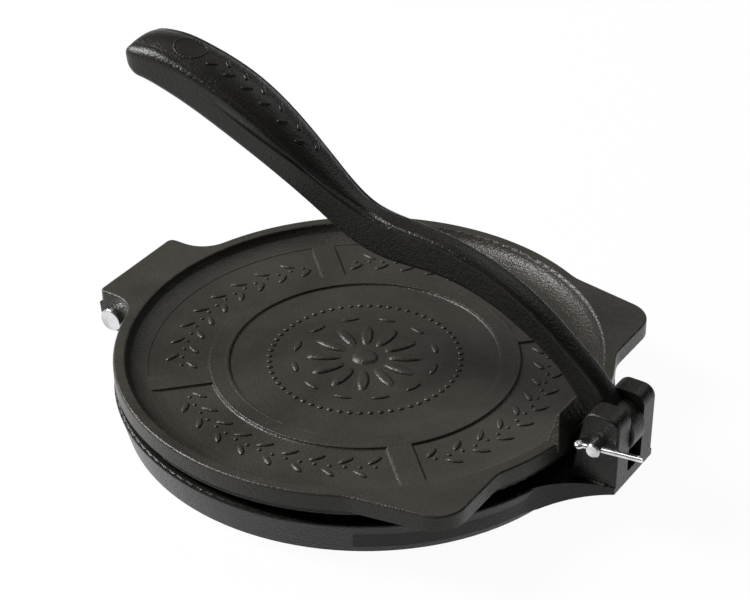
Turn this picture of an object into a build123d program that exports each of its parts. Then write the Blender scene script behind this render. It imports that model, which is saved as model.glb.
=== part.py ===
from build123d import *
import os
from math import atan2, cos, degrees, hypot, radians, sin, sqrt

# A hinged cast iron press for flattening balls of dough: a round base with a fork at the front,
# a dished top plate hinged at the back, and a long lever that swings in the fork.
# Millimetres. X runs from the hinge to the lever's pivot, Z is up, and the origin is the
# centre of the base's underside. The model is drawn with the plate shut flat on the base,
# and the plate is then lifted to the small angle at which the press stands by itself.

# ---- base ----
base_radius = 102.0  # top edge of the round base
base_height = 15.2
base_draft = 4.0  # how much smaller the foot is than the top edge, on the radius
base_edge = 1.2  # rounding of the top edge
base_plate = 5.4  # iron above the hollow underside
base_skirt = 5.0
rib_width = 5.0
rib_count = 4
rib_ring_radius = 50.0
hub_pad_radius = 13.0
cavity_fillet = 2.0

# ---- fork (clevis) that carries the lever ----
tongue_end = 20.6  # how far the tongue reaches past the base's edge
tongue_blend = 36.0  # concave blend from the round base into the tongue
tongue_floor = 1.8  # floor between the ears, above the base's face
tongue_end_height = 4.3  # iron under the floor at the tongue's end
tongue_root_rise = 4.4  # underside of the tongue where it leaves the foot
ear_height = 30.1  # above the base's face
ear_thickness = 9.6
ear_foot_gap = 0.5  # from the base's edge to the front foot of the ears
ear_lean = 5.6  # how far the ears' front edge leans back over its height
ear_corner = 5.0
ear_foot_fillet = 1.6
ear_edge = 1.0
fork_slot = 11.0

# ---- pins ----
pin_diameter = 6.0
pin_play = 0.05  # radial, in every hole a pin turns in
head_diameter = 10.0
head_thickness = 2.4
head_gap = 0.1  # under the head
lever_tail = 5.2  # past the iron, for the split pin
hinge_tail = 6.4
tail_chamfer = 0.6
lever_pin_reach = 12.3  # axis past the base's edge
lever_pin_height = 17.3  # axis above the base's face
hinge_pin_reach = 8.5
hinge_pin_drop = 1.2  # axis below the base's face

# ---- split pins ----
cotter_diameter = 2.2
cotter_slit = 0.16  # between its two half-round legs
cotter_play = 0.12  # in the cross hole
cotter_extra_leg = 2.0  # one leg is longer
cotter_neck = 4.6  # from the headed pin's axis back to where the legs part
throat_radius = 1.8  # bend between the legs and the eye
throat_turn = 48.0
lever_cotter_leg = 18.0
lever_cotter_tilt = -7.7
lever_cotter_roll = 15.0
hinge_cotter_leg = 10.0
hinge_cotter_tilt = 88.0
hinge_cotter_roll = 90.0

# ---- hinge ----
knuckle_radius = 6.4
knuckle_length = 29.4
knuckle_gap = 0.5  # round the knuckle and beside it
web_height = 9.0
hinge_block_width = 50.0
hinge_block_reach = 6.8  # past the pin's axis
hinge_lug_radius = 6.2
block_corner = 3.0
block_blend = 14.0

# ---- top plate ----
plate_radius = 101.6
plate_gap = 0.3  # between the pressing faces when shut
plate_height = 10.4  # pressing face to land
plate_floor = 4.1  # iron under the dish
plate_draft = 1.2
rim_width = 4.7
dish_slope = 1.0
dish_fillet_width = 8.6
dish_fillet_rise = 4.4
rim_edge = 1.0
foot_edge = 1.2
flange_height = 7.0  # of the two wings
wing_shoulder_x, wing_shoulder_y = 50.0, 89.0
wing_front = 90.0
wing_taper = 10.1  # degrees
wing_corner = 13.0
wing_back_blend = 20.0
wing_front_blend = 16.0
panel_depth = 0.9
medallion_radius = 55.3
ring_radius = 63.3
panel_radius = 88.0
strip_width = 9.5
panel_count = 4
rest_opening = 1.05  # degrees

# ---- nose on the plate that the lever presses ----
nose_inset = 5.4  # inner side of the nose from the plate's edge
nose_height = 9.3
nose_top = 28.0  # length along Y at the top
nose_foot = 41.0
nose_flat = 1.2
nose_edge = 0.5

# ---- lever ----
# Each station is the near top and bottom corner of the lever, measured from its pin,
# then the width, the rise of the crown and the shoulder beside it.
hub_radius = 9.8
hub_side_gap = 0.35
neck_width = 10.0
handle_width = 25.0
lever_sole = 2.4  # rounding along the bottom edges
station_list = [
    (-221.7, 101.9, -221.0, 96.2, 0.62, 0.5, 1.6),
    (-220.6, 103.6, -219.2, 94.6, 0.80, 0.9, 2.6),
    (-217.8, 104.9, -216.4, 93.2, 0.94, 1.2, 3.8),
    (-212.3, 105.8, -213.4, 92.8, 1.00, 1.3, 4.4),
    (-196.3, 104.3, -198.9, 89.4, 1.00, 1.9, 3.4),
    (-174.3, 97.3, -180.7, 82.9, 1.00, 2.7, 2.2),
    (-154.3, 86.6, -162.0, 74.0, 0.87, 2.8, 1.9),
    (-134.3, 72.3, -141.4, 62.1, 0.59, 2.0, 1.8),
    (-124.3, 65.8, -131.3, 54.6, 0.34, 1.3, 1.8),
    (-114.3, 60.6, -120.7, 47.4, 0.17, 0.8, 1.8),
    (-104.3, 58.5, -107.2, 42.5, 0.08, 0.5, 1.9),
    (-84.3, 57.5, -85.1, 42.0, 0.0, 0.4, 2.0),
    (-64.3, 53.9, -67.6, 40.6, 0.0, 0.4, 2.0),
    (-48.3, 48.1, -53.5, 36.5, 0.0, 0.4, 2.0),
    (-33.3, 39.5, -39.9, 29.8, 0.0, 0.4, 2.0),
    (-19.8, 29.0, -26.4, 20.7, 0.0, 0.4, 2.0),
    (-10.3, 21.0, -18.9, 12.7, 0.0, 0.4, 2.0),
    (-3.2, 13.4, -12.8, 5.2, 0.0, 0.4, 2.0),
    (6.6, 5.7, -6.6, -5.7, 0.0, 0.3, 2.0),
]

# ---- sizes that follow ----
lever_pin_x = base_radius + lever_pin_reach
lever_pin_z = base_height + lever_pin_height
hinge_pin_x = -base_radius - hinge_pin_reach
hinge_pin_z = base_height - hinge_pin_drop
tongue_tip = base_radius + tongue_end
ear_half = fork_slot / 2 + ear_thickness
ear_top = base_height + ear_height
floor_top = base_height + tongue_floor
face_z = base_height + plate_gap
land_z = face_z + plate_height
dish_z = face_z + plate_floor
flange_z = land_z - flange_height
rim_radius = plate_radius - rim_width
block_back = hinge_pin_x - hinge_block_reach
block_half = hinge_block_width / 2
pin_hole = pin_diameter / 2 + pin_play
cotter_hole = cotter_diameter / 2 + cotter_play
far_past = 4 * base_radius  # larger than anything cut with it


def polar(radius, angle):
    """A point on a circle round the origin, with the angle in degrees."""
    return (radius * cos(radians(angle)), radius * sin(radians(angle)))


def y_cylinder(radius, x, z, y_low, y_high):
    """A cylinder along Y between two Y values."""
    plane = Plane(origin=(x, y_low, z), x_dir=(1, 0, 0), z_dir=(0, 1, 0))
    return extrude(plane * Circle(radius), amount=y_high - y_low)


def side_profile(points, y_low, y_high):
    """A polygon drawn in X and Z, made solid between two Y values."""
    corners = [Vector(x, y_low, z) for x, z in points]
    face = make_face(Polyline(*corners, close=True))
    return extrude(face, amount=y_high - y_low, dir=(0, 1, 0))


def near(shape, *points):
    """The vertices of a flat sketch that lie nearest to the given points."""
    return [shape.vertices().sort_by_distance(Vector(x, y, 0))[0] for x, y in points]


def level_edges(solid, height, tolerance=0.01):
    """The edges that lie wholly at one height."""
    edges = solid.edges()
    return [e for e in edges if abs(e.bounding_box().min.Z - height) < tolerance
            and abs(e.bounding_box().max.Z - height) < tolerance]


# ---------------------------------------------------------------- base
def base_disc():
    foot = base_radius - base_draft
    edge_run = base_edge * 0.7
    outline = make_face(
        Polyline((0, 0, 0), (foot, 0, 0), (base_radius - 0.2, 0, base_height - base_edge))
        + ThreePointArc(
            (base_radius - 0.2, 0, base_height - base_edge),
            (base_radius - base_edge + edge_run, 0, base_height - base_edge + edge_run),
            (base_radius - base_edge, 0, base_height),
        )
        + Polyline((base_radius - base_edge, 0, base_height), (0, 0, base_height), (0, 0, 0))
    )
    return revolve(outline, Axis.Z)


def underside():
    """The hollow under the base, with its ribs, ring and centre pad left standing."""
    foot = base_radius - base_draft
    roof = base_height - base_plate
    wall = base_draft * roof / base_height
    hollow = extrude(Circle(foot - base_skirt), amount=roof, taper=-degrees(atan2(wall, roof)))
    hollow = fillet(level_edges(hollow, roof), cavity_fillet)
    ring = Circle(rib_ring_radius + rib_width / 2) - Circle(rib_ring_radius - rib_width / 2)
    kept = ring + Circle(hub_pad_radius)
    for index in range(rib_count):
        angle = 45 + index * 360 / rib_count
        kept += Rot(0, 0, angle) * Pos(foot / 2, 0) * Rectangle(foot, rib_width)
    return hollow - extrude(kept, amount=base_height)


def tongue():
    plan = Circle(base_radius - base_edge) + Pos(base_radius, 0) * Rectangle(base_radius, 2 * ear_half)
    corner = sqrt((base_radius - base_edge) ** 2 - ear_half**2)
    plan = fillet(near(plan, (corner, ear_half), (corner, -ear_half)), tongue_blend)
    length = tongue_tip - base_radius / 2
    plan = plan & (Pos(base_radius / 2 + length / 2, 0) * Rectangle(length, 2 * base_radius))
    block = extrude(plan, amount=base_height)
    root = base_radius - base_draft
    end_low = floor_top - tongue_end_height
    keep = side_profile(
        [(0, tongue_root_rise), (root, tongue_root_rise), (tongue_tip + 1, end_low),
         (tongue_tip + 1, base_height), (0, base_height)],
        -base_radius, base_radius,
    )
    return block & keep


def ear_outline(low):
    front = base_radius + ear_foot_gap
    return [(front, low), (front + ear_lean, ear_top), (tongue_tip, ear_top), (tongue_tip, low)]


def ears():
    """Two upright ears with rounded tops, joined by the floor of the fork."""
    blank = side_profile(ear_outline(base_height - 2), -ear_half, ear_half)
    across = blank.edges().filter_by(Axis.Y).sort_by(Axis.Z)[-2:]
    blank = fillet(across, ear_corner)
    sides = [f for f in blank.faces() if abs(f.normal_at().Y) > 0.99]
    rims = [e for f in sides for e in f.edges() if e.bounding_box().max.Z > base_height]
    blank = fillet(rims, ear_edge)
    slot_height = ear_top - floor_top + 5
    slot = Pos(lever_pin_x, 0, floor_top + slot_height / 2) * Box(base_radius, fork_slot, slot_height)
    slot = fillet(slot.edges().filter_by(Axis.X).sort_by(Axis.Z)[:2], ear_foot_fillet)
    return blank - slot


def ear_feet():
    """The small coved foot where each ear stands on the tongue."""
    front = base_radius + ear_foot_gap
    toe, top = ear_half + ear_foot_fillet, base_height + ear_foot_fillet
    dip = ear_foot_fillet * (1 - sqrt(0.5))
    cove = Plane.YZ * make_face(
        Polyline((ear_half - 1, top), (ear_half - 1, base_height - 1), (toe, base_height - 1),
                 (toe, base_height))
        + ThreePointArc((toe, base_height), (ear_half + dip, base_height + dip), (ear_half, top))
        + Line((ear_half, top), (ear_half - 1, top))
    )
    length = tongue_tip - front - ear_corner
    strip = Pos(front + 1, 0, 0) * extrude(cove, amount=length)
    return strip + mirror(strip, Plane.XZ)


def knuckle():
    """The single knuckle at the back of the base, on its short web."""
    half = knuckle_length / 2
    barrel = y_cylinder(knuckle_radius, hinge_pin_x, hinge_pin_z, -half, half)
    inner = base_radius - base_draft - base_skirt
    web = side_profile(
        [(hinge_pin_x, base_height - web_height), (-inner, base_height - web_height),
         (-inner, base_height), (hinge_pin_x, base_height)], -half, half,
    )
    web -= y_cylinder(knuckle_radius - 1, hinge_pin_x, hinge_pin_z, -half - 1, half + 1)
    return barrel + web


def make_base():
    body = base_disc() + tongue() - underside()
    body = body + ears() + ear_feet() + knuckle()
    body -= y_cylinder(pin_hole, lever_pin_x, lever_pin_z, -far_past, far_past)
    body -= y_cylinder(pin_hole, hinge_pin_x, hinge_pin_z, -block_half, block_half)
    return body


# ---------------------------------------------------------------- top plate
def wing_plan():
    """One wing at the far side, as a polygon that overlaps the round plate."""
    fall = (wing_front - wing_shoulder_x) * sin(radians(wing_taper)) / cos(radians(wing_taper))
    back_x = wing_shoulder_x - 20
    back_y = wing_shoulder_y + 20 * sin(radians(wing_taper)) / cos(radians(wing_taper))
    front_y = wing_shoulder_y - fall
    return [(0, 0), (back_x, back_y), (wing_front, front_y), (wing_front, 0)]


def crossing(point, direction, radius):
    """Where a line from a point first leaves a circle round the origin."""
    px, py = point
    dx, dy = direction
    size = hypot(dx, dy)
    dx, dy = dx / size, dy / size
    along = -(px * dx + py * dy)
    reach = sqrt(radius**2 - (px**2 + py**2) + along**2)
    return [(px + (along + s * reach) * dx, py + (along + s * reach) * dy) for s in (-1, 1)]


def plate_plan():
    """The outline of the land: the round plate, two wings and the hinge block."""
    plan = Circle(plate_radius)
    corners = wing_plan()
    for side in (1, -1):
        outline = [(x, side * y) for x, y in corners]
        plan += make_face(Polyline(*outline, close=True))
    block_depth = -block_back - base_radius / 2
    plan += Pos(block_back + block_depth / 2, 0) * Rectangle(block_depth, hinge_block_width)
    back, front = corners[1], corners[2]
    slope = (front[0] - back[0], front[1] - back[1])
    back_hit = max(crossing(back, slope, plate_radius), key=lambda p: p[1])
    front_hit = (wing_front, sqrt(plate_radius**2 - wing_front**2))
    block_hit = (-sqrt(plate_radius**2 - block_half**2), block_half)
    for spot, radius in (
        (front, wing_corner), (back_hit, wing_back_blend), (front_hit, wing_front_blend),
        (block_hit, block_blend), ((block_back, block_half), block_corner),
    ):
        x, y = spot
        plan = fillet(near(plan, (x, y), (x, -y)), radius)
    return plan


def plate_blank():
    flange = extrude(Pos(0, 0, flange_z) * plate_plan(), amount=flange_height)
    flange = fillet(level_edges(flange, land_z), rim_edge)
    foot = plate_radius - plate_draft
    heel = foot_edge * (1 - sqrt(0.5))
    drum = Plane.XZ * make_face(
        Polyline((0, flange_z + 1), (0, face_z), (foot - foot_edge, face_z))
        + ThreePointArc((foot - foot_edge, face_z), (foot - heel, face_z + heel), (foot, face_z + foot_edge))
        + Polyline((foot, face_z + foot_edge), (plate_radius - 0.1, flange_z),
                   (plate_radius - 0.1, flange_z + 1), (0, flange_z + 1))
    )
    return flange + revolve(drum, Axis.Z)


def dish():
    """The space inside the rim, down to the raised ring and strips."""
    wall_foot = rim_radius - dish_slope
    floor_end = wall_foot - dish_fillet_width
    bend_x = floor_end + dish_fillet_width * 0.66
    bend_z = dish_z + dish_fillet_rise * 0.3
    wall_z = dish_z + dish_fillet_rise
    lip_x = rim_radius - dish_slope * rim_edge / (land_z - wall_z)
    space = make_face(
        Polyline((0, 0, land_z + 1), (0, 0, dish_z), (floor_end, 0, dish_z))
        + ThreePointArc((floor_end, 0, dish_z), (bend_x, 0, bend_z), (wall_foot, 0, wall_z))
        + Line((wall_foot, 0, wall_z), (lip_x, 0, land_z - rim_edge))
        + ThreePointArc((lip_x, 0, land_z - rim_edge),
                        (lip_x + 0.3 * rim_edge, 0, land_z - 0.3 * rim_edge),
                        (lip_x + rim_edge, 0, land_z))
        + Polyline((lip_x + rim_edge, 0, land_z), (lip_x + rim_edge, 0, land_z + 1), (0, 0, land_z + 1))
    )
    return revolve(space, Axis.Z)


def panels():
    """The medallion and the four panels between the strips, sunk into the dish's floor."""
    plan = Circle(panel_radius) - Circle(ring_radius)
    for index in range(panel_count):
        angle = 45 + index * 360 / panel_count
        plan -= Rot(0, 0, angle) * Pos(plate_radius / 2, 0) * Rectangle(plate_radius, strip_width)
    plan += Circle(medallion_radius)
    return extrude(Pos(0, 0, dish_z - panel_depth) * plan, amount=panel_depth + 0.05)


def hinge_lugs():
    """The two lugs that hang from the hinge block and hold the pin."""
    inner = knuckle_length / 2 + knuckle_gap
    lug = y_cylinder(hinge_lug_radius, hinge_pin_x, hinge_pin_z, inner, block_half)
    neck = side_profile(
        [(block_back, flange_z + 1), (hinge_pin_x - hinge_lug_radius, hinge_pin_z),
         (hinge_pin_x + hinge_lug_radius, hinge_pin_z), (-plate_radius + rim_width, flange_z - 1),
         (-plate_radius + rim_width, flange_z + 1)], inner, block_half,
    )
    lug = lug + neck
    return lug + mirror(lug, Plane.XZ)


def nose():
    """The block on the rim under the lever: a wedge with sloping ends and a sloping back."""
    inner = plate_radius - nose_inset
    top = land_z + nose_height
    low = land_z - flange_height / 2
    outer = plate_radius - 0.6
    body = side_profile(
        [(inner - 0.9, low), (inner, top), (inner + nose_flat, top), (outer, land_z - 0.4), (outer, low)],
        -nose_foot / 2, nose_foot / 2,
    )
    ends = make_face(Polyline(
        (0, -nose_foot / 2, low), (0, -nose_foot / 2, land_z), (0, -nose_top / 2, top + 0.01),
        (0, nose_top / 2, top + 0.01), (0, nose_foot / 2, land_z), (0, nose_foot / 2, low), close=True))
    body = body & extrude(ends, amount=far_past, dir=(1, 0, 0))
    crest = [e for e in body.edges() if e.center().Z > land_z + 0.5]
    return fillet(crest, nose_edge)


def make_plate():
    half = knuckle_length / 2 + knuckle_gap
    body = plate_blank() + hinge_lugs()
    body -= dish()
    body -= panels()
    body += nose()
    body -= y_cylinder(knuckle_radius + knuckle_gap, hinge_pin_x, hinge_pin_z, -half, half)
    body -= y_cylinder(pin_hole, hinge_pin_x, hinge_pin_z, -far_past, far_past)
    return lift_plate(body)


def lift_plate(shape):
    """Turn a closed-position shape about the hinge pin, to where the plate rests."""
    axis = Axis((hinge_pin_x, 0, hinge_pin_z), (0, -1, 0))
    return shape.rotate(axis, rest_opening)


# ---------------------------------------------------------------- lever
def lever_section(station):
    """One cross section of the lever: a flat sole, upright sides and a crown between shoulders."""
    top_x, top_z, low_x, low_z, spread, crown, shoulder = station
    width = neck_width + spread * (handle_width - neck_width)
    half = width / 2
    rise = hypot(top_x - low_x, top_z - low_z)
    up = Vector((top_x - low_x) / rise, 0, (top_z - low_z) / rise)
    middle = Vector(lever_pin_x + (top_x + low_x) / 2, 0, lever_pin_z + (top_z + low_z) / 2)
    frame = Plane(origin=middle, x_dir=(0, 1, 0), z_dir=Vector(0, 1, 0).cross(up))
    high, low = rise / 2, -rise / 2
    sole = min(lever_sole, rise / 4)
    bend = sqrt(0.5)
    right = [
        ThreePointArc((half - sole, low), (half - sole + sole * bend, low + sole - sole * bend),
                      (half, low + sole)),
        Line((half, low + sole), (half, high - shoulder)),
        ThreePointArc((half, high - shoulder),
                      (half - shoulder + shoulder * bend, high - shoulder + shoulder * bend),
                      (half - shoulder, high)),
    ]
    left = [
        ThreePointArc((shoulder - half, high),
                      (shoulder - half - shoulder * bend, high - shoulder + shoulder * bend),
                      (-half, high - shoulder)),
        Line((-half, high - shoulder), (-half, low + sole)),
        ThreePointArc((-half, low + sole), (sole - half - sole * bend, low + sole - sole * bend),
                      (sole - half, low)),
    ]
    arch = ThreePointArc((half - shoulder, high), (0, high + crown), (shoulder - half, high))
    flat = Line((sole - half, low), (half - sole, low))
    return frame * make_face(Wire([e.edge() for e in right + [arch] + left + [flat]]))


def make_lever():
    arm = loft([lever_section(station) for station in station_list])
    half = fork_slot / 2 - hub_side_gap
    hub = y_cylinder(hub_radius, lever_pin_x, lever_pin_z, -half, half)
    rims = hub.edges().filter_by(GeomType.CIRCLE)
    hub = fillet(rims, 0.8)
    body = arm + hub
    return body - y_cylinder(pin_hole, lever_pin_x, lever_pin_z, -far_past, far_past)


# ---------------------------------------------------------------- pins
def headed_pin(x, z, head_side, grip, tail, tilt):
    """A headed pin along Y through iron of half-width grip, with a cross hole in its tail."""
    length = 2 * grip + head_gap + tail
    shank = Pos(0, 0, length / 2) * Cylinder(pin_diameter / 2, length)
    shank = chamfer(level_edges(shank, length), tail_chamfer)
    head = Pos(0, 0, -head_thickness / 2) * Cylinder(head_diameter / 2, head_thickness)
    head = fillet(level_edges(head, -head_thickness), head_thickness / 3)
    under_head = Plane(origin=(x, head_side * (grip + head_gap), z), x_dir=(1, 0, 0),
                       z_dir=(0, -head_side, 0))
    cross = Rot(0, 90 + tilt, 0) * Cylinder(cotter_hole, head_diameter)
    return under_head * (shank + head) - Pos(x, -head_side * (grip + tail / 2), z) * cross


def split_pin(x, y, z, leg, tilt, roll):
    """A split pin through the point: half-round wire, two legs side by side and a round eye."""
    radius = cotter_diameter / 2
    offset = cotter_slit / 2
    rise, half_rise = radians(throat_turn), radians(throat_turn / 2)
    bend_mid = (-cotter_neck - throat_radius * sin(half_rise),
                offset + throat_radius * (1 - cos(half_rise)))
    bend_end = (-cotter_neck - throat_radius * sin(rise), offset + throat_radius * (1 - cos(rise)))
    # the eye goes on from the throat without a kink, centred on the pin's own line
    eye_radius = bend_end[1] / cos(rise)
    eye_back = bend_end[0] - eye_radius * (1 + sin(rise))
    path = (
        Line((leg, offset), (-cotter_neck, offset))
        + ThreePointArc((-cotter_neck, offset), bend_mid, bend_end)
        + ThreePointArc(bend_end, (eye_back, 0), (bend_end[0], -bend_end[1]))
        + ThreePointArc((bend_end[0], -bend_end[1]), (bend_mid[0], -bend_mid[1]), (-cotter_neck, -offset))
        + Line((-cotter_neck, -offset), (leg + cotter_extra_leg, -offset))
    )
    start = Plane(origin=(leg, offset, 0), x_dir=(0, 1, 0), z_dir=(-1, 0, 0))
    half_round = make_face(
        Line((0, -radius), (0, radius)) + ThreePointArc((0, radius), (radius, 0), (0, -radius))
    )
    pin = sweep(start * half_round, path=path)
    return Pos(x, y, z) * Rot(0, tilt, 0) * Rot(roll, 0, 0) * pin


def make_pins():
    lever_tail_y = -ear_half - lever_tail / 2
    hinge_tail_y = block_half + hinge_tail / 2
    return {
        "lever_pin": headed_pin(lever_pin_x, lever_pin_z, 1, ear_half, lever_tail, lever_cotter_tilt),
        "lever_cotter": split_pin(lever_pin_x, lever_tail_y, lever_pin_z, lever_cotter_leg,
                                  lever_cotter_tilt, lever_cotter_roll),
        "hinge_pin": headed_pin(hinge_pin_x, hinge_pin_z, -1, block_half, hinge_tail, hinge_cotter_tilt),
        "hinge_cotter": split_pin(hinge_pin_x, hinge_tail_y, hinge_pin_z, hinge_cotter_leg,
                                  hinge_cotter_tilt, hinge_cotter_roll),
    }


# ---------------------------------------------------------------- write
parts = {"base": make_base(), "top_plate": make_plate(), "lever": make_lever()}
parts.update(make_pins())

os.makedirs("parts", exist_ok=True)
for name, shape in parts.items():
    solids = shape.solids()
    shape = solids[0] if len(solids) == 1 else Compound(children=solids)
    shape.label = name
    export_step(shape, os.path.join("parts", name + ".step"))
    box = shape.bounding_box()
    print(name, len(solids), round(shape.volume), [round(v, 1) for v in (*box.min, *box.max)])
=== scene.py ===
from math import cos, pi, radians, sin

import bmesh
import bpy
from mathutils import Matrix, Vector
from mathutils.bvhtree import BVHTree


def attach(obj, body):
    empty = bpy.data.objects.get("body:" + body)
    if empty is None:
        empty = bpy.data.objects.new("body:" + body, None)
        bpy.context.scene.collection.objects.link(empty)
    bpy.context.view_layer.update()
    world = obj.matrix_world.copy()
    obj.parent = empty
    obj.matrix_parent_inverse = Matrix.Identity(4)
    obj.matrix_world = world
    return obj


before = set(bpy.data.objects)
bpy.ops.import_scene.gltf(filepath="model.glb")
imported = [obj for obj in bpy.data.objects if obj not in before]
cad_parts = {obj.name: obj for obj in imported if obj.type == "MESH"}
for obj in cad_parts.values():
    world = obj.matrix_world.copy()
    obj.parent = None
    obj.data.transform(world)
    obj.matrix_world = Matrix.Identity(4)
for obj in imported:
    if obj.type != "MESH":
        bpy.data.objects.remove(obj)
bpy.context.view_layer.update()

print("frame loaded", len(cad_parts), "nodes")

cameraSetup = {
    "target": (-0.03688, 0.06512, 0.0),
    "distance": 0.97868,
    "azimuth": 32.6,  # degrees, the fork is to the right of the lens
    "elevation": 33.06,
    "roll": 0.25,
    "focalPixels": 2224.36,
    "imageWidth": 750,
    "sensor": 36.0,
    "clip": (0.05, 20.0),
}


def makeCamera(setup):
    az, el, roll = (radians(setup[k]) for k in ("azimuth", "elevation", "roll"))
    back = Vector((sin(az) * cos(el), -cos(az) * cos(el), sin(el)))
    right = Vector((cos(az), sin(az), 0.0))
    up = back.cross(right)
    rolledRight = right * cos(roll) + up * sin(roll)
    rolledUp = up * cos(roll) - right * sin(roll)
    data = bpy.data.cameras.new("photoCamera")
    data.sensor_width = setup["sensor"]
    data.lens = setup["sensor"] * setup["focalPixels"] / setup["imageWidth"]
    data.clip_start, data.clip_end = setup["clip"]
    camera = bpy.data.objects.new("photoCamera", data)
    turn = Matrix((rolledRight, rolledUp, back)).transposed().to_4x4()
    camera.matrix_world = Matrix.Translation(Vector(setup["target"]) + back * setup["distance"]) @ turn
    bpy.context.scene.collection.objects.link(camera)
    bpy.context.scene.camera = camera


makeCamera(cameraSetup)
print("camera placed")


def newMaterial(name):
    material = bpy.data.materials.new(name)
    material.use_nodes = True
    tree = material.node_tree
    tree.nodes.clear()
    output = tree.nodes.new("ShaderNodeOutputMaterial")
    shader = tree.nodes.new("ShaderNodeBsdfPrincipled")
    tree.links.new(shader.outputs["BSDF"], output.inputs["Surface"])
    return material, tree, shader


def noiseOf(tree, scale, detail, rough, stretch=None, distortion=0.0):
    coords = tree.nodes.new("ShaderNodeTexCoord")
    noise = tree.nodes.new("ShaderNodeTexNoise")
    noise.inputs["Scale"].default_value = scale
    noise.inputs["Detail"].default_value = detail
    noise.inputs["Roughness"].default_value = rough
    noise.inputs["Distortion"].default_value = distortion
    if stretch:
        mapping = tree.nodes.new("ShaderNodeMapping")
        mapping.inputs["Scale"].default_value = stretch
        tree.links.new(coords.outputs["Object"], mapping.inputs["Vector"])
        tree.links.new(mapping.outputs["Vector"], noise.inputs["Vector"])
    else:
        tree.links.new(coords.outputs["Object"], noise.inputs["Vector"])
    return noise.outputs["Fac"]


def rampOf(tree, value, low, high, start=0.0, end=1.0):
    node = tree.nodes.new("ShaderNodeMapRange")
    node.inputs["From Min"].default_value = low
    node.inputs["From Max"].default_value = high
    node.inputs["To Min"].default_value = start
    node.inputs["To Max"].default_value = end
    tree.links.new(value, node.inputs["Value"])
    return node.outputs["Result"]


def mathOf(tree, operation, first, second=0.0):
    node = tree.nodes.new("ShaderNodeMath")
    node.operation = operation
    for socket, value in zip(node.inputs, (first, second)):
        if isinstance(value, (int, float)):
            socket.default_value = value
        else:
            tree.links.new(value, socket)
    return node.outputs["Value"]


def mixColor(tree, factor, first, second):
    node = tree.nodes.new("ShaderNodeMix")
    node.data_type = "RGBA"
    tree.links.new(factor, node.inputs["Factor"])
    for name, value in (("A", first), ("B", second)):
        socket = [s for s in node.inputs if s.name == name and s.type == "RGBA"][0]
        if isinstance(value, tuple):
            socket.default_value = (*value, 1.0)
        else:
            tree.links.new(value, socket)
    return [s for s in node.outputs if s.type == "RGBA"][0]


# each layer is a height, a strength and a depth in metres
def bumpOf(tree, shader, layers):
    last = None
    for height, strength, depth in layers:
        bump = tree.nodes.new("ShaderNodeBump")
        bump.inputs["Strength"].default_value = strength
        bump.inputs["Distance"].default_value = depth
        tree.links.new(height, bump.inputs["Height"])
        if last:
            tree.links.new(last, bump.inputs["Normal"])
        last = bump.outputs["Normal"]
    tree.links.new(last, shader.inputs["Normal"])


# seasoned sand-cast iron: noise as scale per metre, detail and roughness
ironFinish = {
    "darkTone": (0.0170, 0.0160, 0.0133),
    "paleTone": (0.0292, 0.0272, 0.0228),
    "dustTone": (0.0520, 0.0490, 0.0430),
    "grainNoise": (1500.0, 3.0, 0.6),
    "pebbleNoise": (900.0, 3.0, 0.5),
    "waveNoise": (32.0, 3.0, 0.5),
    "patchNoise": (19.2, 5.0, 0.6),
    "patchTwist": 0.4,
    "patchSpan": (0.35, 0.68),  # from the dark tone to the pale one
    "dustSpan": (0.60, 0.78, 0.0, 0.55),  # the grain's tips take the dust
    "roughSpan": (0.3, 0.7, 0.26, 0.36),
    "grainRough": (0.3, 0.7, -0.05, 0.05),
    "waveBump": (0.5, 0.0006),
    "pebbleBump": (0.7, 0.00036),
    "grainBump": (0.9, 0.00015),
    "specular": 0.28,
    "ior": 1.5,
}


# 1 along the two creases of the lever and 0 beside them
def creaseMask(tree, crease):
    coords = tree.nodes.new("ShaderNodeTexCoord")
    parts = tree.nodes.new("ShaderNodeSeparateXYZ")
    tree.links.new(coords.outputs["Object"], parts.inputs["Vector"])
    x, y, z = (parts.outputs[axis] for axis in "XYZ")
    bow = mathOf(tree, "MULTIPLY", mathOf(tree, "MULTIPLY", x, x), crease["bow"])
    line = mathOf(tree, "ADD", mathOf(tree, "MULTIPLY", x, crease["slope"]), crease["height"])
    height = mathOf(tree, "SUBTRACT", z, mathOf(tree, "ABSOLUTE", y))
    away = mathOf(tree, "SUBTRACT", height, mathOf(tree, "ADD", line, bow))
    mask = rampOf(tree, mathOf(tree, "ABSOLUTE", away), 0.0, crease["width"], 1.0, 0.0)
    start, end, fade = crease["start"], crease["end"], crease["fade"]
    mask = mathOf(tree, "MULTIPLY", mask, rampOf(tree, x, start, start + fade))
    return mathOf(tree, "MULTIPLY", mask, rampOf(tree, x, end - fade, end, 1.0, 0.0))


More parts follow.
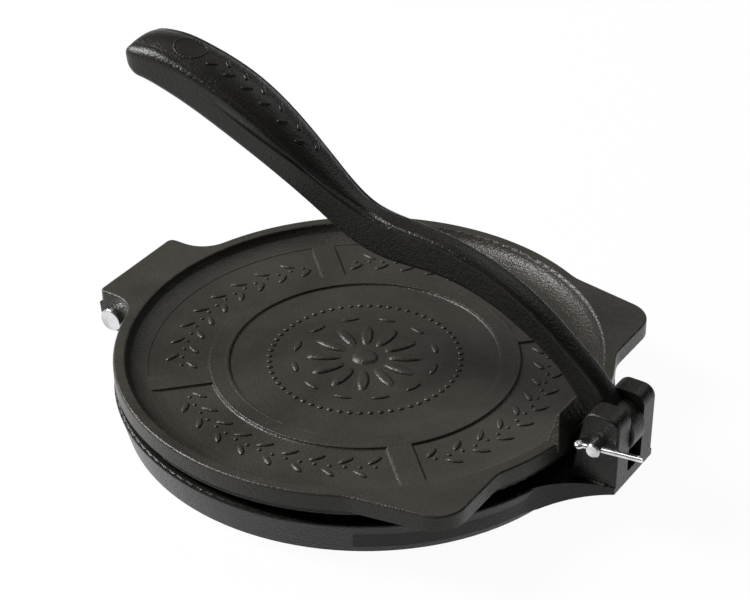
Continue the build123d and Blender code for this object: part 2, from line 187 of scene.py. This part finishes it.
def ironMaterial(name, finish, tone, crease=None):
    material, tree, shader = newMaterial(name)
    grain, pebble, wave = (noiseOf(tree, *finish[k]) for k in ("grainNoise", "pebbleNoise", "waveNoise"))
    patch = noiseOf(tree, *finish["patchNoise"], distortion=finish["patchTwist"])
    dark, pale, dust = (tuple(c * tone for c in finish[k]) for k in ("darkTone", "paleTone", "dustTone"))
    base = mixColor(tree, rampOf(tree, patch, *finish["patchSpan"]), dark, pale)
    base = mixColor(tree, rampOf(tree, grain, *finish["dustSpan"]), base, dust)
    hollow = ()
    if crease:  # painted shade darkens the crease, and the bump sinks it
        mask = creaseMask(tree, crease)
        base = mixColor(tree, mathOf(tree, "MULTIPLY", mask, crease["paintedShade"]), base, crease["tone"])
        hollow = ((mathOf(tree, "MULTIPLY", mask, -1.0), 1.0, crease["depth"]),)
    tree.links.new(base, shader.inputs["Base Color"])
    rough = rampOf(tree, patch, *finish["roughSpan"])
    rough = mathOf(tree, "ADD", rough, rampOf(tree, grain, *finish["grainRough"]))
    tree.links.new(rough, shader.inputs["Roughness"])
    shader.inputs["Metallic"].default_value = 0.0
    shader.inputs["Specular IOR Level"].default_value = finish["specular"]
    shader.inputs["IOR"].default_value = finish["ior"]
    bumpOf(tree, shader, hollow + (
        (wave, *finish["waveBump"]),
        (pebble, *finish["pebbleBump"]),
        (grain, *finish["grainBump"]),
    ))
    return material


# bright plated wire and pin stock, with drawing marks along it
steelFinish = {
    "tone": (0.78, 0.78, 0.80),
    "dull": (0.52, 0.52, 0.53),
    "scratchNoise": (700.0, 4.0, 0.6),
    "cloudNoise": (160.0, 3.0, 0.5),
    "cloudSpan": (0.4, 0.7),
    "roughSpan": (0.3, 0.7, 0.18, 0.34),
    "scratchBump": (0.25, 0.00004),
    "pinStretch": (1.0, 0.08, 1.0),
    "wireStretch": (0.15, 1.0, 1.0),
}


def steelMaterial(name, finish, stretch):
    material, tree, shader = newMaterial(name)
    scratch = noiseOf(tree, *finish["scratchNoise"], stretch)
    cloud = noiseOf(tree, *finish["cloudNoise"])
    base = mixColor(tree, rampOf(tree, cloud, *finish["cloudSpan"]), finish["tone"], finish["dull"])
    tree.links.new(base, shader.inputs["Base Color"])
    tree.links.new(rampOf(tree, scratch, *finish["roughSpan"]), shader.inputs["Roughness"])
    shader.inputs["Metallic"].default_value = 1.0
    bumpOf(tree, shader, ((scratch, *finish["scratchBump"]),))
    return material


def dress(node, material):
    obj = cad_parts[node]
    if not obj.data.materials:
        obj.data.materials.append(material)
    for slot in obj.material_slots:
        slot.material = material


leverCrease = {  # where z - |y| = height + slope * x + bow * x * x
    "height": 0.0896,
    "slope": -0.32,
    "bow": 0.9,
    "width": 0.0017,
    "depth": 0.0011,
    "start": -0.064,
    "end": 0.024,
    "fade": 0.024,
    # how strongly the crease is painted dark as shade, and the colour of that painted shade
    "paintedShade": 0.75,
    "tone": (0.006, 0.0055, 0.005),
}

paintedLightTone = {"plate": 1.6, "lever": 0.6, "base": 0.6}  # painted light and shade: one iron, the plate painted paler and the lever and base darker for how light falls on each

plateIron = ironMaterial("plateIron", ironFinish, paintedLightTone["plate"])
leverIron = ironMaterial("leverIron", ironFinish, paintedLightTone["lever"], leverCrease)
dress("base", ironMaterial("baseIron", ironFinish, paintedLightTone["base"]))
dress("top_plate", plateIron)
dress("lever", leverIron)
for node in ("hinge_pin", "lever_pin"):
    dress(node, steelMaterial(node + "Steel", steelFinish, steelFinish["pinStretch"]))
for node in ("hinge_cotter", "lever_cotter"):
    dress(node, steelMaterial(node + "Steel", steelFinish, steelFinish["wireStretch"]))
print("materials assigned")

plateRest = {"pinX": -0.1105, "pinZ": 0.014, "angle": 1.05}  # the plate stands open by this angle
casting = {"hardEdge": 50.0, "above": 1.0}  # degrees, and a height over everything


def castPiece(name, bm, body, material):
    bmesh.ops.recalc_face_normals(bm, faces=bm.faces)
    for edge in bm.edges:
        edge.smooth = edge.calc_face_angle(0.0) < radians(casting["hardEdge"])
    mesh = bpy.data.meshes.new(name)
    bm.to_mesh(mesh)
    bm.free()
    for face in mesh.polygons:
        face.use_smooth = True
    mesh.materials.append(material)
    piece = bpy.data.objects.new(name, mesh)
    bpy.context.scene.collection.objects.link(piece)
    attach(piece, body)
    print("cast", name, len(mesh.polygons), "faces")


# from the shut plate's place to where it stands in the frame
def liftToRest(bm):
    pin = Matrix.Translation((plateRest["pinX"], 0.0, plateRest["pinZ"]))
    turn = pin @ Matrix.Rotation(-radians(plateRest["angle"]), 4, "Y") @ pin.inverted()
    bmesh.ops.transform(bm, matrix=turn, verts=bm.verts)


softEdges = {  # profiles of radius or half width and height, with the plate shut
    "steps": 192,
    "ringInside": ((0.0545, 0.01860), (0.0549, 0.01878), (0.0552, 0.01920), (0.0555, 0.01958),
                   (0.0559, 0.01973), (0.0564, 0.01972), (0.0569, 0.01955), (0.0569, 0.01860)),
    "ringOutside": ((0.0617, 0.01860), (0.0617, 0.01955), (0.0622, 0.01972), (0.0627, 0.01973),
                    (0.0631, 0.01958), (0.0634, 0.01920), (0.0637, 0.01878), (0.0641, 0.01860)),
    "stripSide": ((0.0038, 0.01860), (0.0038, 0.01955), (0.0042, 0.01966), (0.0046, 0.01958),
                  (0.0049, 0.01920), (0.0052, 0.01878), (0.0056, 0.01860)),
    "stripStart": 0.0630,
    "stripEnd": 0.0885,
    "strips": 4,
}

dishFillet = {
    "innerRadius": 0.0825,
    "outerRadius": 0.0960,
    "floorHeight": 0.01866,  # the panels of the dish, with the plate shut
    "rise": 0.00461,
    "power": 2.1,
    "rings": 14,
    "sink": 0.0001,  # how far its underside lies below the panels
}


def turned(bm, profile, steps):
    verts = [bm.verts.new((radius, 0.0, height)) for radius, height in profile]
    edges = [bm.edges.new(pair) for pair in zip(verts, verts[1:] + verts[:1])]
    bmesh.ops.spin(bm, geom=verts + edges, cent=(0, 0, 0), axis=(0, 0, 1), angle=2 * pi,
                   steps=steps, use_merge=True)


# one long side of a strip, drawn out from the ring to the dish's wall
def stripEdge(bm, spec, angle, side):
    out, across = Vector((cos(angle), sin(angle), 0.0)), Vector((-sin(angle), cos(angle), 0.0))
    start = [bm.verts.new(out * spec["stripStart"] + across * side * offset
                          + Vector((0.0, 0.0, height))) for offset, height in spec["stripSide"]]
    grown = bmesh.ops.extrude_face_region(bm, geom=[bm.faces.new(start)])["geom"]
    moved = [item for item in grown if isinstance(item, bmesh.types.BMVert)]
    bmesh.ops.translate(bm, verts=moved, vec=out * (spec["stripEnd"] - spec["stripStart"]))


# the soft edges of the ring and the strips, and the long fillet that runs up the dish's wall
def addSoftEdges(spec, fillet):
    bm = bmesh.new()
    turned(bm, spec["ringInside"], spec["steps"])
    turned(bm, spec["ringOutside"], spec["steps"])
    run = fillet["outerRadius"] - fillet["innerRadius"]
    shares = [ring / fillet["rings"] for ring in range(fillet["rings"] + 1)]
    curve = [(fillet["innerRadius"] + run * share,
              fillet["floorHeight"] + fillet["rise"] * share ** fillet["power"]) for share in shares]
    turned(bm, curve + [(fillet["outerRadius"], fillet["floorHeight"] - fillet["sink"])], spec["steps"])
    for index in range(spec["strips"]):
        for side in (1, -1):
            stripEdge(bm, spec, 2 * pi * (index + 0.5) / spec["strips"], side)
    bmesh.ops.holes_fill(bm, edges=bm.edges[:], sides=0)
    liftToRest(bm)
    castPiece("softEdges", bm, "top_plate", plateIron)


def surfaceOf(node):
    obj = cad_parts[node]
    points = [obj.matrix_world @ v.co for v in obj.data.vertices]
    return BVHTree.FromPolygons(points, [tuple(p.vertices) for p in obj.data.polygons])


# a half-sunk ellipsoid of a length, width and rise, on the casting's upper face
def addMark(bm, surface, x, y, heading, size):
    spot, normal = surface.ray_cast(Vector((x, y, casting["above"])), Vector((0.0, 0.0, -1.0)))[:2]
    if normal.z < 0:
        normal = -normal
    along = Vector((cos(heading), sin(heading), 0.0))
    along = (along - normal * along.dot(normal)).normalized()
    turn = Matrix((along, normal.cross(along), normal)).transposed().to_4x4()
    length, width, rise = size
    scale = Matrix.Diagonal((length / 2, width / 2, rise, 1.0))
    bmesh.ops.create_icosphere(bm, subdivisions=2, radius=1.0,
                               matrix=Matrix.Translation(spot) @ turn @ scale)


# count marks evenly round the dish's middle; turn is each one's heading from its own spoke
def markCircle(bm, surface, count, radius, size, turn=0.0, shift=0.0):
    for index in range(count):
        angle = 2 * pi * (index + shift) / count
        addMark(bm, surface, radius * cos(angle), radius * sin(angle), angle + turn, size)


vine = {
    "radius": 0.0745,
    "spread": 0.0040,  # of the leaves to both sides of the line of berries
    "leaf": (0.0074, 0.0027, 0.0008),
    "tilt": 40.0,
    "berry": (0.0018, 0.0018, 0.0006),
    "halfSpan": 36.0,
    "leaves": 17,
    "panels": 4,
}


def addVines(spec):
    bm = bmesh.new()
    surface = surfaceOf("top_plate")
    step = 2 * spec["halfSpan"] / (spec["leaves"] - 1)
    for panel in range(spec["panels"]):
        for index in range(spec["leaves"]):
            angle = radians(panel * 360 / spec["panels"] - spec["halfSpan"] + index * step)
            side = 1 if index % 2 else -1
            radius = spec["radius"] + side * spec["spread"]
            heading = angle + pi / 2 - side * radians(spec["tilt"])
            addMark(bm, surface, radius * cos(angle), radius * sin(angle), heading, spec["leaf"])
            radius = spec["radius"]
            addMark(bm, surface, radius * cos(angle), radius * sin(angle), 0.0, spec["berry"])
    castPiece("panelVines", bm, "top_plate", plateIron)


rosette = {
    "petals": 12,
    "petal": (0.0150, 0.0052, 0.0011),
    "petalRadius": 0.0165,
    "sepal": (0.0080, 0.0026, 0.0008),
    "sepalRadius": 0.0290,
    "bead": (0.0024, 0.0024, 0.0007),
    "beadRadius": 0.0390,
    "beads": 60,
    "boss": (0.0110, 0.0110, 0.0014),
}


def addRosette(spec):
    bm = bmesh.new()
    surface = surfaceOf("top_plate")
    addMark(bm, surface, 0.0, 0.0, 0.0, spec["boss"])
    markCircle(bm, surface, spec["petals"], spec["petalRadius"], spec["petal"])
    markCircle(bm, surface, spec["petals"], spec["sepalRadius"], spec["sepal"], pi / 2, 0.5)
    markCircle(bm, surface, spec["beads"], spec["beadRadius"], spec["bead"])
    castPiece("medallionRosette", bm, "top_plate", plateIron)


handleBand = {
    "ringX": -0.0820,
    "ringRadius": 0.0066,
    "ringMarks": 28,
    "ringMark": (0.0020, 0.0011, 0.0003),
    "bandStart": -0.0700,
    "bandEnd": -0.0240,
    "leaves": 12,
    "leaf": (0.0052, 0.0022, 0.0006),
    "spread": 0.0026,
    "tilt": 42.0,
}


# a ring and a short row of leaves on the handle's crown
def addHandleBand(spec):
    bm = bmesh.new()
    surface = surfaceOf("lever")
    for index in range(spec["ringMarks"]):
        angle = 2 * pi * index / spec["ringMarks"]
        x = spec["ringX"] + spec["ringRadius"] * cos(angle)
        addMark(bm, surface, x, spec["ringRadius"] * sin(angle), angle + pi / 2, spec["ringMark"])
    step = (spec["bandEnd"] - spec["bandStart"]) / (spec["leaves"] - 1)
    for index in range(spec["leaves"]):
        side = 1 if index % 2 else -1
        addMark(bm, surface, spec["bandStart"] + index * step, side * spec["spread"],
                -side * radians(spec["tilt"]), spec["leaf"])
    castPiece("handleBand", bm, "lever", leverIron)


addSoftEdges(softEdges, dishFillet)
addVines(vine)
addRosette(rosette)
addHandleBand(handleBand)
print("ornament cast")

studio = {
    "floorSize": 6.0,
    "floorTone": (0.30, 0.30, 0.30),
    "paperTone": (0.80, 0.80, 0.80),  # the same paper as the lens sees it
    "paperRough": 0.9,
    "paperSpecular": 0.1,
    "floorGlow": 0.955,  # how much of the paper is plain white to the lens
    "worldStrength": 0.04,
    "aim": (0.0, 0.0, 0.03),
}

lamps = {  # place, size and power
    "keyLight": ((-1.15, -0.30, 1.05), (0.6, 0.6), 44.0),
    "fillLight": ((1.0, -0.8, 0.9), (1.0, 1.0), 0.4),
    "backLight": ((0.2, 1.2, 1.2), (1.2, 0.8), 4.0),
}


# pale paper, white to the lens and in reflections, that keeps the shadow
def makeFloor(setup):
    mesh = bpy.data.meshes.new("floor")
    bm = bmesh.new()
    bmesh.ops.create_grid(bm, x_segments=1, y_segments=1, size=setup["floorSize"])
    bm.to_mesh(mesh)
    bm.free()
    floor = bpy.data.objects.new("floor", mesh)
    bpy.context.scene.collection.objects.link(floor)
    material, tree, shader = newMaterial("floorPaper")
    shader.inputs["Roughness"].default_value = setup["paperRough"]
    shader.inputs["Specular IOR Level"].default_value = setup["paperSpecular"]
    rays = tree.nodes.new("ShaderNodeLightPath")
    seen = mathOf(tree, "ADD", rays.outputs["Is Camera Ray"], rays.outputs["Is Glossy Ray"])
    seen = mathOf(tree, "ADD", seen, rays.outputs["Is Transmission Ray"])
    seen = mathOf(tree, "MINIMUM", seen, 1.0)
    paper = mixColor(tree, seen, setup["floorTone"], setup["paperTone"])
    tree.links.new(paper, shader.inputs["Base Color"])
    share = mathOf(tree, "MULTIPLY", seen, setup["floorGlow"])
    glow = tree.nodes.new("ShaderNodeEmission")
    glow.inputs["Strength"].default_value = 1.0
    blend = tree.nodes.new("ShaderNodeMixShader")
    tree.links.new(share, blend.inputs["Fac"])
    tree.links.new(shader.outputs["BSDF"], blend.inputs[1])
    tree.links.new(glow.outputs["Emission"], blend.inputs[2])
    output = [n for n in tree.nodes if n.type == "OUTPUT_MATERIAL"][0]
    tree.links.new(blend.outputs["Shader"], output.inputs["Surface"])
    mesh.materials.append(material)


def makeWorld(setup):
    world = bpy.data.worlds.new("studio")
    world.use_nodes = True
    background = world.node_tree.nodes["Background"]
    background.inputs["Color"].default_value = (1.0, 1.0, 1.0, 1.0)
    background.inputs["Strength"].default_value = setup["worldStrength"]
    bpy.context.scene.world = world


def softbox(name, place, size, energy):
    data = bpy.data.lights.new(name, "AREA")
    data.shape = "RECTANGLE"
    data.size, data.size_y = size
    data.energy = energy
    lamp = bpy.data.objects.new(name, data)
    lamp.location = place
    lamp.rotation_euler = (Vector(studio["aim"]) - Vector(place)).to_track_quat("-Z", "Y").to_euler()
    bpy.context.scene.collection.objects.link(lamp)


makeFloor(studio)
makeWorld(studio)
for name, setup in lamps.items():
    softbox(name, *setup)
bpy.context.scene.view_settings.view_transform = "Standard"
print("studio lit")
